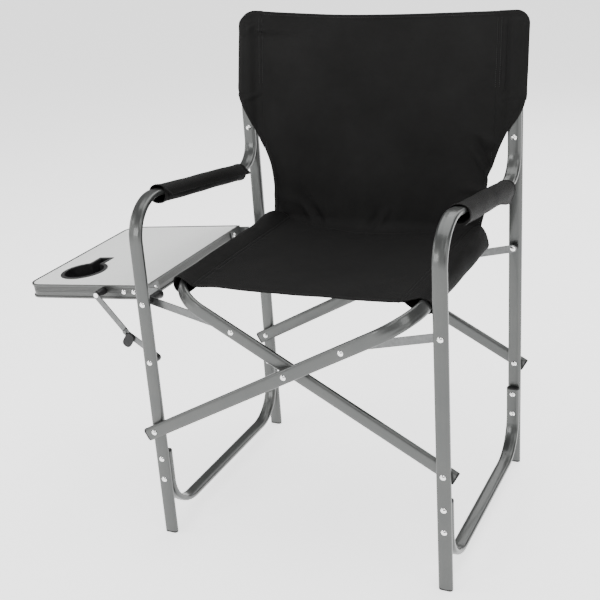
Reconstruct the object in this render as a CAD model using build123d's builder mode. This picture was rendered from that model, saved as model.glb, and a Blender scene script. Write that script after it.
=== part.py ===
"""Folding director's chair with a drop-leaf side table.

Two side frames of flat-oval tube are joined by two bent cross tubes that scissor
about a centre pivot. In each side frame one tube is front leg, arm and back post.
Four flat links steady the cross tubes, a fabric sling hangs between the seat rails
and the back posts, and a side table with a cup holder folds down beside one frame
on a two-bar brace.

Millimetres, +Z up, the sitter faces -Y, the table is on the -X side.
The origin is on the floor under the middle of the open chair's box.
"""

import math
import os

from build123d import *

os.makedirs("parts", exist_ok=True)

# Side frames
leg_spacing = 520.0
leg_depth = 438.0
tube_wide = 24.0
tube_thick = 11.0
tube_wall = 1.2
post_height = 848.0
post_bend_height = 710.0
post_bend_radius = 120.0
post_lean = 9.0
rear_leg_height = 700.0
arm_height = 621.0
arm_drop = 58.0
arm_front_radius = 66.0
arm_rear_radius = 46.0
arm_rivet_height = 650.0
rail_run_height = 35.0
rail_bend_radius = 70.0
rail_upper_rivet = 152.0
rail_end_margin = 13.0
rail_lower_rivet = 111.0

# Cross tubes and links
lower_pivot_height = 212.0
centre_pivot_height = 354.0
link_bolt_drop = 25.5
link_rivet_reach = 117.1
seat_rail_reach = 247.0
cross_bend_radius = 66.0
bar_overhang = 19.0
link_wide = 14.0
link_thick = 2.0

# Fasteners, plugs and gaps
shank_radius = 3.0
head_radius = 5.0
head_dome = 2.4
spacer_radius = 6.5
washer_radius = 9.0
pivot_gap = 1.5
running_gap = 0.3
fixed_gap = 0.05
hole_clearance = 0.05
cap_thick = 3.0
plug_depth = 6.0
plug_clearance = 0.1
foot_edge = 1.0

# Side table
table_droop = 5.0
table_inset = 22.7
table_width = 262.0
table_top_rise = 13.8
table_edge_height = 25.0
table_front_gap = 48.0
table_rear_gap = 42.0
table_corner = 26.0
frame_thick = 9.0
frame_lip = 3.0
frame_lip_proud = 2.0
rib_count = 4
rib_pitch = 2.6
rib_groove = 1.0
rib_depth = 0.7
panel_lip = 3.6
panel_recess = 0.8
panel_thick = 4.0
bracket_thick = 2.0
bracket_length = 38.0
bracket_rivet_inset = 26.0
bracket_eye_radius = 9.0
edge_rivet_near = 53.0
edge_rivet_far = 74.0
edge_rivet_depth = 6.0

# Cup holder in the table
cup_side_inset = 76.0
cup_front_inset = 77.0
cup_radius = 39.0
cup_wall = 1.8
cup_depth = 36.0
cup_lip = 5.0
cup_lip_thick = 1.4
cup_lip_round = 0.6
notch_half_width = 11.0
notch_reach = 70.0
cup_clearance = 0.2

# Folding brace under the table
brace_table_reach = 115.0
brace_table_rise = 4.0
brace_leg_drop = 107.0
brace_slack = 1.6
brace_fold_gap = 0.5
brace_wide = 11.0
brace_thick = 2.0
brace_leg_gap = 16.5
flush_head_radius = 4.4
flush_head_depth = 1.2
tab_wide = 17.0
tab_length = 27.0
tab_thick = 4.0
tab_setback = 13.0

# Fabric
cloth = 1.6
sleeve_gap = 0.3
seat_front_inset = 36.0
seat_rear_inset = 52.0
seat_sag = 9.0
sleeve_shoulder_angle = 140.0
back_top_rise = 13.0
back_sleeve_length = 145.0
back_seam_inset = 34.0
back_sleeve_reach = 18.5
back_shoulder_gap = 2.0
back_bust_half = 214.0
back_bust_height = 600.0
back_waist_half = 204.0
back_waist_height = 535.0
back_foot_half = 203.0
back_foot_forward = 26.0
back_foot_radius = 24.0
back_fall_radius = 160.0
arm_cover_front = 78.0
arm_cover_rear = 46.0
arm_cover_side = 4.0
arm_cover_top = 2.4
arm_cover_below = 9.0

# Positions worked out from the sizes above
half_spacing = leg_spacing / 2
rail_end_height = rail_upper_rivet + rail_end_margin
front_y = -leg_depth / 2
rear_y = leg_depth / 2
post_y = rear_y - tube_thick - fixed_gap
post_tilt = math.radians(post_lean)
post_end_height = post_height - cap_thick
bar_offset = tube_thick + pivot_gap
hole_radius = shank_radius + hole_clearance
sleeve_growth = sleeve_gap + cloth
back_top = post_height + back_top_rise
back_sleeve_bottom = back_top - back_sleeve_length

droop = math.radians(table_droop)
table_reach = half_spacing + (table_inset + table_width) * math.cos(droop)
free_reach = half_spacing + back_sleeve_reach
chair_x = (table_reach - free_reach) / 2
table_leg_x = chair_x - half_spacing
free_leg_x = chair_x + half_spacing

cross_rise = centre_pivot_height - lower_pivot_height
cross_arm = math.hypot(half_spacing, cross_rise)
cross_cos = half_spacing / cross_arm
cross_sin = cross_rise / cross_arm
rail_x = seat_rail_reach * cross_cos
rail_z = centre_pivot_height + seat_rail_reach * cross_sin
link_bolt_height = rail_z - link_bolt_drop
rivet_x = link_rivet_reach * cross_cos
rivet_z = centre_pivot_height + link_rivet_reach * cross_sin

# Faces met by the pins, front to back, at the front pair of legs
bar_a_front = front_y - bar_offset - tube_thick / 2
bar_a_back = bar_a_front + tube_thick
leg_front = front_y - tube_thick / 2
leg_back = front_y + tube_thick / 2
bar_b_front = front_y + bar_offset - tube_thick / 2
bar_b_back = bar_b_front + tube_thick
outer_link_front = bar_b_back + running_gap
outer_link_back = outer_link_front + link_thick
inner_link_front = leg_back + running_gap
inner_link_back = inner_link_front + link_thick

table_front = front_y + table_front_gap
table_rear = rear_y - table_rear_gap
table_top = table_top_rise
table_bottom = table_top_rise - table_edge_height
table_middle = table_top_rise - table_edge_height / 2
table_plane = Plane(
    origin=(table_leg_x, 0, link_bolt_height),
    x_dir=(math.cos(droop), 0, math.sin(droop)),
    z_dir=(-math.sin(droop), 0, math.cos(droop)),
)

brace_leg_z = link_bolt_height - brace_leg_drop
brace_lower_front = leg_back + brace_leg_gap
brace_lower_back = brace_lower_front + brace_thick
brace_upper_front = brace_lower_back + running_gap
brace_upper_back = brace_upper_front + brace_thick


def on_post(z):
    """Depth of a back post's middle line at a height above its bend, where it leans back."""
    return post_y + (z - post_bend_height) * math.tan(post_tilt)


post_direction = (0, math.sin(post_tilt), math.cos(post_tilt))


def save(part, name):
    """Label a finished piece and write it under its own name."""
    part.label = name
    export_step(part, f"parts/{name}.step")


def turned(side, x, y):
    """A point seen from the chair's middle, or turned half round it where side is -1."""
    return chair_x + side * x, side * y


def oval(grow=0.0):
    """The flat-oval tube outline, grown or shrunk all round."""
    SlotOverall(tube_wide + 2 * grow, tube_thick + 2 * grow)


def oval_ring():
    """The tube's wall in section."""
    oval()
    SlotOverall(tube_wide - 2 * tube_wall, tube_thick - 2 * tube_wall, mode=Mode.SUBTRACT)


def bent_tube(points, radius, wide_direction, holes):
    """A flat-oval tube along a bent line, drilled across the chair's depth at (x, y, z)."""
    with BuildPart() as tube:
        with BuildLine() as path:
            FilletPolyline(*points, radius=radius)
        with BuildSketch(Plane(origin=path.line @ 0, x_dir=wide_direction, z_dir=path.line % 0)):
            oval_ring()
        sweep()
        for x, y, z in holes:
            with Locations(Plane(origin=(x, y, z), z_dir=(0, 1, 0))):
                Cylinder(hole_radius, 2 * tube_thick, mode=Mode.SUBTRACT)
    return tube.part


def pin(x, z, y_from, y_to, near_head=True, far_head=True):
    """A domed pin along the depth of the chair, added to the part being built."""
    with BuildSketch(Plane(origin=(x, 0, z), x_dir=(1, 0, 0), z_dir=(0, 0, 1))) as profile:
        with BuildLine():
            tip = y_from
            end = y_to
            if near_head:
                tip = y_from - head_dome
                TangentArc((0, tip), (head_radius, y_from), tangent=(1, 0))
                Line((head_radius, y_from), (shank_radius, y_from))
            else:
                Line((0, tip), (shank_radius, y_from))
            Line((shank_radius, y_from), (shank_radius, y_to))
            if far_head:
                end = y_to + head_dome
                Line((shank_radius, y_to), (head_radius, y_to))
                TangentArc((0, end), (head_radius, y_to), tangent=(1, 0))
            else:
                Line((shank_radius, y_to), (0, end))
            Line((0, end), (0, tip))
        make_face()
    revolve(profile.sketch, axis=Axis((x, 0, z), (0, 1, 0)))


def turned_pin(side, x, z, y_from, y_to, near_head=True, far_head=True):
    """A pin given at the front legs, or its copy turned half round to the rear."""
    px, p0 = turned(side, x, y_from)
    p1 = side * y_to
    if side > 0:
        pin(px, z, p0, p1, near_head, far_head)
    else:
        pin(px, z, p1, p0, far_head, near_head)


def collar(x, z, y_from, y_to, radius):
    """A plain bush on a pin, between two depths."""
    length = abs(y_to - y_from)
    with Locations(Plane(origin=(x, (y_from + y_to) / 2, z), z_dir=(0, 1, 0))):
        Cylinder(radius, length)
        Cylinder(hole_radius, length, mode=Mode.SUBTRACT)


def end_plug(plane, edge):
    """A moulded plug: its stem fills the tube's bore, its cap covers the cut end."""
    with BuildSketch(plane) as face:
        oval()
    cap = extrude(face.sketch, amount=cap_thick)
    with BuildSketch(plane) as bore:
        oval(-tube_wall - plug_clearance)
    extrude(bore.sketch, amount=-plug_depth)
    outer = plane.origin + plane.z_dir * cap_thick
    rim = cap.faces().sort_by_distance(outer)[0].edges()
    fillet(rim, edge)


# Front legs run up, over and back as arms, and up again as the posts of the back
def leg_and_arm(x):
    """One tube from the floor to the top of the back, riveted to the rear leg behind it."""
    slope = arm_drop / (post_y - front_y)
    corner_front = (x, front_y, arm_height + slope * arm_front_radius)
    corner_rear = (x, post_y, corner_front[2] - arm_drop)
    points = [
        (x, front_y, cap_thick),
        corner_front,
        corner_rear,
        (x, post_y, post_bend_height),
        (x, on_post(post_end_height), post_end_height),
    ]
    holes = [(x, front_y, z) for z in (link_bolt_height, lower_pivot_height)]
    holes += [(x, front_y, z) for z in (rail_upper_rivet, rail_lower_rivet)]
    holes += [(x, post_y, arm_rivet_height)]
    if x == table_leg_x:
        holes += [(x, front_y, brace_leg_z)]
    radii = [arm_front_radius, arm_rear_radius, post_bend_radius]
    return bent_tube(points, radii, (1, 0, 0), holes)


def rear_upright(x):
    """The rear leg: a straight tube from the floor to a cap above the arm's rivet."""
    heights = [link_bolt_height, lower_pivot_height, rail_upper_rivet, rail_lower_rivet]
    heights += [arm_rivet_height]
    with BuildPart() as tube:
        with BuildSketch(Plane(origin=(x, rear_y, cap_thick))):
            oval_ring()
        extrude(amount=rear_leg_height - 2 * cap_thick)
        for z in heights:
            with Locations(Plane(origin=(x, rear_y, z), z_dir=(0, 1, 0))):
                Cylinder(hole_radius, 2 * tube_thick, mode=Mode.SUBTRACT)
    return tube.part


def side_rail(x):
    """A trough-shaped tube low on one side, standing against both legs."""
    rail_front_y = front_y + tube_thick + fixed_gap
    top = rail_end_height - cap_thick
    points = [
        (x, rail_front_y, top),
        (x, rail_front_y, rail_run_height),
        (x, -rail_front_y, rail_run_height),
        (x, -rail_front_y, top),
    ]
    rivets = (rail_upper_rivet, rail_lower_rivet)
    holes = [(x, y, z) for y in (rail_front_y, -rail_front_y) for z in rivets]
    return bent_tube(points, rail_bend_radius, (1, 0, 0), holes)


def frame_caps(x):
    """Feet, rail plugs and the plugs on the rear leg and the back post of one side."""
    rail_y = front_y + tube_thick + fixed_gap
    with BuildPart() as feet:
        for y in (front_y, rear_y):
            end_plug(Plane(origin=(x, y, cap_thick), x_dir=(1, 0, 0), z_dir=(0, 0, -1)), foot_edge)
    with BuildPart() as rail_plugs:
        for y in (rail_y, -rail_y):
            end_plug(Plane(origin=(x, y, rail_end_height - cap_thick)), foot_edge)
    with BuildPart() as top_plugs:
        end_plug(Plane(origin=(x, rear_y, rear_leg_height - cap_thick)), foot_edge)
        post_end = (x, on_post(post_end_height), post_end_height)
        end_plug(Plane(origin=post_end, x_dir=(1, 0, 0), z_dir=post_direction), foot_edge)
    return feet.part, rail_plugs.part, top_plugs.part


def frame_rivets(x):
    """The fixed rivets of one side frame: two at each rail end and one behind the arm."""
    with BuildPart() as rivets:
        for z in (rail_upper_rivet, rail_lower_rivet):
            far = leg_back + tube_thick + fixed_gap
            pin(x, z, leg_front, far)
            pin(x, z, -far, -leg_front)
        pin(x, arm_rivet_height, -leg_back - tube_thick - fixed_gap, -leg_front)
    return rivets.part


for side_name, side_x in (("table_side", table_leg_x), ("free_side", free_leg_x)):
    save(leg_and_arm(side_x), f"front_leg_and_arm_{side_name}")
    save(rear_upright(side_x), f"rear_upright_{side_name}")
    save(side_rail(side_x), f"lower_rail_{side_name}")
    foot_caps, rail_caps, top_caps = frame_caps(side_x)
    save(foot_caps, f"foot_caps_{side_name}")
    save(rail_caps, f"rail_plugs_{side_name}")
    save(top_caps, f"upper_plugs_{side_name}")
    save(frame_rivets(side_x), f"frame_rivets_{side_name}")


# Cross tubes: one bent trough each, the second is the first turned half round
def cross_tube(side):
    """A tube up from a lower pivot, back along the seat edge and down to the other pivot."""
    low_x = -half_spacing - (bar_overhang - cap_thick) * cross_cos
    low_z = lower_pivot_height - (bar_overhang - cap_thick) * cross_sin
    corners = [
        (low_x, front_y - bar_offset, low_z),
        (rail_x, front_y - bar_offset, rail_z),
        (rail_x, rear_y - bar_offset, rail_z),
        (low_x, rear_y - bar_offset, low_z),
    ]
    points = [(*turned(side, x, y), z) for x, y, z in corners]
    drilled = [(-half_spacing, lower_pivot_height), (0, centre_pivot_height), (rivet_x, rivet_z)]
    holes = []
    for x, z in drilled:
        for y in (front_y - bar_offset, rear_y - bar_offset):
            holes.append((*turned(side, x, y), z))
    return bent_tube(points, cross_bend_radius, (-side * cross_sin, 0, cross_cos), holes)


def cross_plugs(side):
    """The plugs in both lower ends of a cross tube."""
    low_x = -half_spacing - (bar_overhang - cap_thick) * cross_cos
    low_z = lower_pivot_height - (bar_overhang - cap_thick) * cross_sin
    with BuildPart() as plugs:
        for y in (front_y - bar_offset, rear_y - bar_offset):
            px, py = turned(side, low_x, y)
            end_plug(
                Plane(
                    origin=(px, py, low_z),
                    x_dir=(-side * cross_sin, 0, cross_cos),
                    z_dir=(-side * cross_cos, 0, -cross_sin),
                ),
                foot_edge,
            )
    return plugs.part


def cross_link_rivets(side):
    """The rivet stubs that carry the links on a cross tube, with the bush of the inner link."""
    with BuildPart() as rivets:
        turned_pin(side, rivet_x, rivet_z, bar_a_front, inner_link_front - running_gap, True, False)
        turned_pin(-side, -rivet_x, rivet_z, bar_b_front, bar_b_back, True, False)
    with BuildPart() as bush:
        bx, near = turned(side, rivet_x, bar_a_back)
        collar(bx, rivet_z, near, side * (inner_link_front - running_gap), spacer_radius)
    return rivets.part, bush.part


for cross_name, side in (("a", 1), ("b", -1)):
    save(cross_tube(side), f"cross_tube_{cross_name}")
    save(cross_plugs(side), f"cross_plugs_{cross_name}")
    stubs, bush_part = cross_link_rivets(side)
    save(stubs, f"link_stubs_{cross_name}")
    save(bush_part, f"link_bush_{cross_name}")

with BuildPart() as centre_pins:
    for side in (1, -1):
        turned_pin(side, 0, centre_pivot_height, bar_a_front, bar_b_back + running_gap)
save(centre_pins.part, "centre_pivot_pins")

with BuildPart() as centre_bushes:
    for side in (1, -1):
        bx, near = turned(side, 0, bar_a_back)
        collar(bx, centre_pivot_height, near, side * (bar_b_front - running_gap), spacer_radius)
save(centre_bushes.part, "centre_pivot_bushes")


# Lower pivots: each pin joins a leg to the cross tube in front of it or behind it
def lower_pivots(front_side):
    """Pins and washers on one side frame: front_side -1 is the table side, 1 the free side."""
    with BuildPart() as pins:
        if front_side < 0:
            turned_pin(1, -half_spacing, lower_pivot_height, bar_a_front - running_gap, leg_back)
            turned_pin(-1, half_spacing, lower_pivot_height, leg_front, bar_b_back + running_gap)
        else:
            turned_pin(1, half_spacing, lower_pivot_height, leg_front, bar_b_back + running_gap)
            turned_pin(-1, -half_spacing, lower_pivot_height, bar_a_front - running_gap, leg_back)
    with BuildPart() as washers:
        sign = -front_side
        wx, near = turned(sign, -half_spacing, leg_front)
        collar(wx, lower_pivot_height, near, sign * (bar_a_back + running_gap), washer_radius)
        wx, near = turned(-sign, half_spacing, leg_back)
        collar(wx, lower_pivot_height, near, -sign * (bar_b_front - running_gap), washer_radius)
    return pins.part, washers.part


for side_name, front_side in (("table_side", -1), ("free_side", 1)):
    pivot_pins, pivot_washers = lower_pivots(front_side)
    save(pivot_pins, f"lower_pivot_pins_{side_name}")
    save(pivot_washers, f"lower_pivot_washers_{side_name}")


# Links: flat bars from the bolts on the legs to the rivets on the cross tubes
def link(side, x_leg, x_rivet, y_near, y_far):
    """A flat link with an eye on its leg bolt and a riveted end at the cross tube."""
    leg_end, y0 = turned(side, x_leg, y_near)
    run = side * (x_rivet - x_leg)
    rise = rivet_z - link_bolt_height
    length = math.hypot(run, rise)
    start = min(y0, side * y_far)
    with BuildPart() as bar:
        with BuildSketch(
            Plane(origin=(leg_end, start, link_bolt_height), x_dir=(run, 0, rise), z_dir=(0, 1, 0))
        ):
            with Locations((length / 2, 0)):
                SlotCenterToCenter(length, link_wide)
            Circle(hole_radius, mode=Mode.SUBTRACT)
        extrude(amount=link_thick)
        far_x, far_y = turned(side, x_rivet, y_far)
        with Locations(Plane(origin=(far_x, far_y, rivet_z), z_dir=(0, side, 0))):
            Cone(head_radius, shank_radius, head_dome, align=(Align.CENTER, Align.CENTER, Align.MIN))
    return bar.part


for side, outer_name, inner_name in (
    (1, "front_table_side", "front_free_side"),
    (-1, "rear_free_side", "rear_table_side"),
):
    outer = link(side, -half_spacing, -rivet_x, outer_link_front, outer_link_back)
    save(outer, f"link_{outer_name}")
    inner = link(side, half_spacing, rivet_x, inner_link_front, inner_link_back)
    save(inner, f"link_{inner_name}")

# Link bolts: on the table side they run on into the table's hinge brackets
bracket_front_y = table_front
bracket_rear_y = table_rear
with BuildPart() as table_side_bolts:
    hinge_near = bracket_front_y + bracket_thick + running_gap
    hinge_far = bracket_rear_y - bracket_thick - running_gap
    pin(table_leg_x, link_bolt_height, leg_front, hinge_near)
    pin(table_leg_x, link_bolt_height, hinge_far, -leg_front)
save(table_side_bolts.part, "link_bolts_table_side")

with BuildPart() as free_side_bolts:
    turned_pin(1, half_spacing, link_bolt_height, leg_front, inner_link_back + running_gap)
    turned_pin(-1, -half_spacing, link_bolt_height, leg_front, outer_link_back + running_gap)
save(free_side_bolts.part, "link_bolts_free_side")

with BuildPart() as table_side_bushes:
    bush_end = outer_link_front - running_gap
    collar(table_leg_x, link_bolt_height, leg_back, bush_end, spacer_radius)
    bush_start = outer_link_back + running_gap
    collar(table_leg_x, link_bolt_height, bush_start, bracket_front_y - running_gap, spacer_radius)
    bush_start = bracket_rear_y + running_gap
    rear_link_face = -inner_link_back - running_gap
    collar(table_leg_x, link_bolt_height, bush_start, rear_link_face, spacer_radius)
save(table_side_bushes.part, "hinge_bushes_table_side")

with BuildPart() as free_side_bushes:
    bush_end = -outer_link_front + running_gap
    collar(free_leg_x, link_bolt_height, bush_end, -leg_back, spacer_radius)
save(free_side_bushes.part, "link_bush_free_side")


# Side table, drawn in its own drooping plane
def table_outline(inset):
    """The table's outline: two round corners outside, two nearly square ones at the hinge."""
    width = table_width - 2 * inset
    length = table_rear - table_front - 2 * inset
    with Locations((-table_inset - table_width / 2, (table_front + table_rear) / 2)):
        sheet = Rectangle(width, length)
    fillet(sheet.vertices().group_by(Axis.X)[0], table_corner - inset)


def keyhole(radius, half_width, reach):
    """A round cup with a slot to the rear for a mug's handle."""
    centre = (-table_inset - table_width + cup_side_inset, table_front + cup_front_inset)
    with Locations(centre):
        Circle(radius)
    with Locations((centre[0], centre[1] + reach / 2)):
        Rectangle(2 * half_width, reach)


panel_top = table_top - panel_recess
panel_bottom = panel_top - panel_thick

with BuildPart() as table_frame:
    with BuildSketch(table_plane.offset(table_bottom)):
        table_outline(frame_lip_proud)
    extrude(amount=table_edge_height)
    for level in (table_bottom, table_top - frame_lip):
        with BuildSketch(table_plane.offset(level)):
            table_outline(0)
        extrude(amount=frame_lip)
    with BuildSketch(table_plane.offset(table_bottom)):
        table_outline(frame_thick)
    extrude(amount=table_edge_height, mode=Mode.SUBTRACT)
    with BuildSketch(table_plane.offset(panel_bottom)):
        table_outline(panel_lip)
    extrude(amount=panel_thick + panel_recess, mode=Mode.SUBTRACT)
    for step in range(1, rib_count + 1):
        level = table_top - frame_lip - step * rib_pitch
        with BuildSketch(table_plane.offset(level)):
            table_outline(0)
            with BuildSketch(mode=Mode.PRIVATE) as core:
                table_outline(frame_lip_proud + rib_depth)
            add(core.sketch, mode=Mode.SUBTRACT)
        extrude(amount=rib_groove, mode=Mode.SUBTRACT)
    for reach in (edge_rivet_near, edge_rivet_far, brace_table_reach):
        rise = brace_table_rise if reach == brace_table_reach else table_middle
        point = table_plane.from_local_coords((-reach, table_front, rise))
        with Locations(Plane(origin=point, z_dir=(0, 1, 0))):
            Cylinder(hole_radius, 4 * frame_thick, mode=Mode.SUBTRACT)
    for y in (table_front + bracket_rivet_inset, table_rear - bracket_rivet_inset):
        point = table_plane.from_local_coords((-table_inset, y, table_middle))
        with Locations(Plane(origin=point, z_dir=table_plane.x_dir)):
            Cylinder(hole_radius, 2 * edge_rivet_depth + 2 * plug_clearance, mode=Mode.SUBTRACT)
save(table_frame.part, "table_frame")

with BuildPart() as table_panel:
    with BuildSketch(table_plane.offset(panel_bottom)):
        table_outline(panel_lip + plug_clearance)
        with BuildSketch(mode=Mode.PRIVATE) as opening:
            keyhole(cup_radius + cup_clearance, notch_half_width + cup_clearance, notch_reach + cup_clearance)
        add(opening.sketch, mode=Mode.SUBTRACT)
    extrude(amount=panel_thick)
save(table_panel.part, "table_panel")

with BuildPart() as cup_holder:
    with BuildSketch(table_plane.offset(panel_top)):
        keyhole(cup_radius + cup_lip, notch_half_width + cup_lip, notch_reach + cup_lip)
    extrude(amount=cup_lip_thick)
    with BuildSketch(table_plane.offset(panel_top - cup_depth)):
        keyhole(cup_radius, notch_half_width, notch_reach)
    extrude(amount=cup_depth)
    with BuildSketch(table_plane.offset(panel_top - cup_depth + cup_wall)):
        keyhole(cup_radius - cup_wall, notch_half_width - cup_wall, notch_reach - cup_wall)
    extrude(amount=cup_depth + cup_lip_thick, mode=Mode.SUBTRACT)
    rim = cup_holder.faces().sort_by(Axis(table_plane.origin, table_plane.z_dir))[-1]
    fillet(rim.edges(), cup_lip_round)
save(cup_holder.part, "cup_holder")


def hinge_bracket(end_y, inward):
    """An angle plate on the table's inner edge, with an eye on the link bolt."""
    with BuildPart() as bracket:
        low = table_bottom + frame_lip
        high = table_top - frame_lip
        face_x = -table_inset + frame_lip_proud
        middle_y = end_y + inward * bracket_length / 2
        with BuildSketch(table_plane.offset(low)):
            with Locations((face_x - frame_lip_proud * 2 + bracket_thick / 2, middle_y)):
                Rectangle(bracket_thick, bracket_length)
        extrude(amount=high - low)
        start = min(end_y, end_y + inward * bracket_thick)
        eye = Plane(origin=(table_leg_x, start, link_bolt_height), x_dir=table_plane.x_dir, z_dir=(0, 1, 0))
        with BuildSketch(eye):
            Circle(bracket_eye_radius)
            with Locations((-table_inset / 2 - frame_lip_proud, -(low + high) / 2)):
                Rectangle(table_inset, high - low)
        extrude(amount=bracket_thick)
        with Locations(Plane(origin=(table_leg_x, end_y, link_bolt_height), z_dir=(0, 1, 0))):
            Cylinder(hole_radius, 4 * bracket_thick, mode=Mode.SUBTRACT)
        rivet_y = end_y + inward * bracket_rivet_inset
        point = table_plane.from_local_coords((face_x, rivet_y, table_middle))
        with Locations(Plane(origin=point, z_dir=table_plane.x_dir)):
            Cylinder(hole_radius, 4 * bracket_thick, mode=Mode.SUBTRACT)
    return bracket.part


save(hinge_bracket(table_front, 1), "table_bracket_front")
save(hinge_bracket(table_rear, -1), "table_bracket_rear")

with BuildPart() as table_rivets:
    for reach in (edge_rivet_near, edge_rivet_far):
        point = table_plane.from_local_coords((-reach, table_front, table_middle))
        web = table_front + frame_lip_proud
        pin(point.X, point.Z, web, web + edge_rivet_depth, True, False)
    for y in (table_front + bracket_rivet_inset, table_rear - bracket_rivet_inset):
        seat = -table_inset - frame_lip_proud + bracket_thick
        point = table_plane.from_local_coords((seat, y, table_middle))
        with Locations(Plane(origin=point, z_dir=table_plane.x_dir)):
            Cone(head_radius, shank_radius, head_dome, align=(Align.CENTER, Align.CENTER, Align.MIN))
            Cylinder(shank_radius, edge_rivet_depth, align=(Align.CENTER, Align.CENTER, Align.MAX))
save(table_rivets.part, "table_rivets")

# Two-bar brace between the table's front edge and the leg
brace_top = table_plane.from_local_coords((-brace_table_reach, 0, brace_table_rise))
span_x = brace_top.X - table_leg_x
span_z = brace_top.Z - brace_leg_z
span = math.hypot(span_x, span_z)
folded_span = math.hypot(brace_table_rise, brace_table_reach - brace_leg_drop)
brace_difference = folded_span - brace_fold_gap
brace_upper_length = (span + brace_slack + brace_difference) / 2
brace_lower_length = (span + brace_slack - brace_difference) / 2
along = (span**2 + brace_lower_length**2 - brace_upper_length**2) / (2 * span)
bow = math.sqrt(brace_lower_length**2 - along**2)
knee_x = table_leg_x + (along * span_x - bow * span_z) / span
knee_z = brace_leg_z + (along * span_z + bow * span_x) / span


def brace_bar(x, z, to_x, to_z, y_front):
    """A flat bar between two points of the brace, drilled at its first end."""
    length = math.hypot(to_x - x, to_z - z)
    direction = (to_x - x, 0, to_z - z)
    with BuildSketch(Plane(origin=(x, y_front, z), x_dir=direction, z_dir=(0, 1, 0))) as flat:
        with Locations((length / 2, 0)):
            SlotCenterToCenter(length, brace_wide)
        Circle(hole_radius, mode=Mode.SUBTRACT)
    extrude(flat.sketch, amount=brace_thick)


def flush_head(wide, narrow, mode):
    """The countersunk head of the upper pin, flush with the front of the bar."""
    with Locations(Plane(origin=(brace_top.X, brace_upper_front, brace_top.Z), z_dir=(0, 1, 0))):
        Cone(wide, narrow, flush_head_depth, align=(Align.CENTER, Align.CENTER, Align.MIN), mode=mode)


with BuildPart() as brace_upper:
    brace_bar(brace_top.X, brace_top.Z, knee_x, knee_z, brace_upper_front)
    flush_head(flush_head_radius + hole_clearance, hole_radius, Mode.SUBTRACT)
save(brace_upper.part, "brace_upper_bar")

with BuildPart() as brace_lower:
    brace_bar(table_leg_x, brace_leg_z, knee_x, knee_z, brace_lower_front)
    with Locations(Plane(origin=(knee_x, brace_lower_front, knee_z), z_dir=(0, -1, 0))):
        Cone(head_radius, shank_radius, head_dome, align=(Align.CENTER, Align.CENTER, Align.MIN))
save(brace_lower.part, "brace_lower_bar")

with BuildPart() as release_tab:
    bar_direction = Vector(knee_x - table_leg_x, 0, knee_z - brace_leg_z).normalized()
    tab_plane = Plane(
        origin=(knee_x, brace_lower_front - fixed_gap, knee_z),
        x_dir=(bar_direction.X, 0, bar_direction.Z),
        z_dir=(0, -1, 0),
    )
    with BuildSketch(tab_plane):
        with Locations((-tab_setback, tab_length / 2 - brace_wide / 2)):
            RectangleRounded(tab_wide, tab_length, tab_wide / 2 - 1)
    extrude(amount=tab_thick)
save(release_tab.part, "brace_release_tab")

with BuildPart() as brace_pins:
    pin(brace_top.X, brace_top.Z, brace_upper_front, table_front + frame_thick, False, True)
    flush_head(flush_head_radius, shank_radius, Mode.ADD)
save(brace_pins.part, "brace_pin_table")

with BuildPart() as brace_table_bush:
    web = table_front + frame_lip_proud
    collar(brace_top.X, brace_top.Z, brace_upper_back + running_gap, web, spacer_radius)
save(brace_table_bush.part, "brace_bush_table")

with BuildPart() as brace_leg_pin:
    pin(table_leg_x, brace_leg_z, leg_front, brace_lower_back, True, False)
save(brace_leg_pin.part, "brace_pin_leg")

with BuildPart() as brace_leg_bush:
    collar(table_leg_x, brace_leg_z, leg_back, brace_lower_front - running_gap, spacer_radius)
save(brace_leg_bush.part, "brace_bush_leg")


# Fabric: sleeves on the tubes, the seat between the rails and the back between the posts
def seat_sleeve(side):
    """The sewn sleeve round the straight stretch of a seat rail."""
    start = front_y - bar_offset + cross_bend_radius
    end = rear_y - bar_offset - cross_bend_radius
    px, py = turned(side, rail_x, start if side > 0 else end)
    with BuildPart() as sleeve:
        with BuildSketch(
            Plane(origin=(px, py, rail_z), x_dir=(-side * cross_sin, 0, cross_cos), z_dir=(0, 1, 0))
        ):
            oval(sleeve_growth)
            SlotOverall(tube_wide + 2 * sleeve_gap, tube_thick + 2 * sleeve_gap, mode=Mode.SUBTRACT)
        extrude(amount=end - start)
    return sleeve.part


save(seat_sleeve(1), "seat_sleeve_free_side")
save(seat_sleeve(-1), "seat_sleeve_table_side")

shoulder = math.radians(sleeve_shoulder_angle)
shoulder_radius = tube_thick / 2 + sleeve_growth + sleeve_gap + cloth / 2
flat_half = (tube_wide - tube_thick) / 2
seat_edge_x = rail_x - flat_half * cross_sin + shoulder_radius * math.cos(shoulder)
seat_edge_z = rail_z + flat_half * cross_cos + shoulder_radius * math.sin(shoulder)
seat_front = front_y + seat_front_inset
seat_rear = rear_y - seat_rear_inset

with BuildPart() as seat_panel:
    with BuildSketch(Plane(origin=(chair_x, seat_rear, 0), x_dir=(1, 0, 0), z_dir=(0, -1, 0))):
        with BuildLine():
            upper = ThreePointArc(
                (-seat_edge_x, seat_edge_z + cloth / 2),
                (0, seat_edge_z - seat_sag + cloth / 2),
                (seat_edge_x, seat_edge_z + cloth / 2),
            )
            lower = ThreePointArc(
                (-seat_edge_x, seat_edge_z - cloth / 2),
                (0, seat_edge_z - seat_sag - cloth / 2),
                (seat_edge_x, seat_edge_z - cloth / 2),
            )
            Line(upper @ 0, lower @ 0)
            Line(upper @ 1, lower @ 1)
        make_face()
    extrude(amount=seat_rear - seat_front)
save(seat_panel.part, "seat_panel")


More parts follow.
